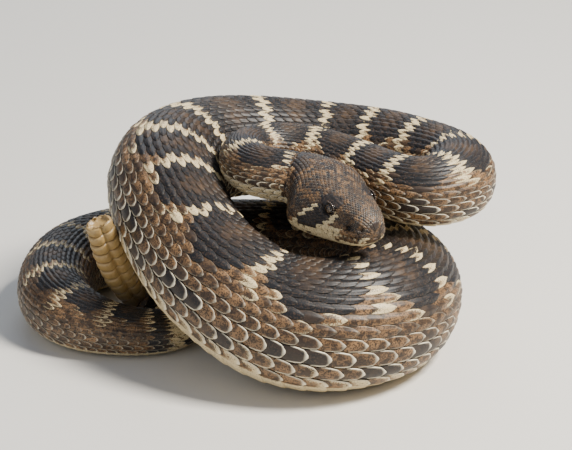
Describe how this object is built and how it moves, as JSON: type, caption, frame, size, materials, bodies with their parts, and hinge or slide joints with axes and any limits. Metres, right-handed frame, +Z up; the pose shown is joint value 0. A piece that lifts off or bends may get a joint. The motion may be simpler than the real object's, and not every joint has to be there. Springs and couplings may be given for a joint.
{
  "type": "western diamondback rattlesnake",
  "caption": "Western diamondback rattlesnake resting in a loose coil, head low over the front of the coil, tail curled beside it with the rattle raised.",
  "frame": {"origin": "centre of the box under the snake, on the ground it rests on", "axes": "+X along the longer side of the coil, away from the rattle, +Y toward the back of the coil, away from the snout, +Z up"},
  "size_m": [0.222, 0.17, 0.0944],
  "materials": {
    "head_skin": "dry keeled scales, low sheen",
    "body_skin": "dry keeled scales, dark diamonds edged with cream",
    "tail_skin": "dry keeled scales, dark grey brown",
    "eye": "clear, wet and glossy, upright slit pupil",
    "rattle_horn": "horn, half glossy"
  },
  "bodies": {
    "root": {"head": "head_skin", "eye_left": "eye", "eye_right": "eye", "neck_front": "body_skin", "neck_bend": "body_skin", "neck_rear": "body_skin", "body_01": "body_skin", "body_02": "body_skin", "body_03": "body_skin", "body_04": "body_skin", "body_05": "body_skin", "body_06": "body_skin", "body_07": "body_skin", "body_08": "body_skin", "body_09": "body_skin", "body_10": "body_skin", "body_11": "body_skin", "body_12": "body_skin", "body_13": "body_skin", "body_14": "body_skin", "body_15": "body_skin", "body_16": "body_skin", "body_17": "body_skin", "body_18": "body_skin", "tail_root": "tail_skin", "tail_bend": "tail_skin", "tail_tip": "tail_skin", "rattle": "rattle_horn"}
  },
  "joints": []
}
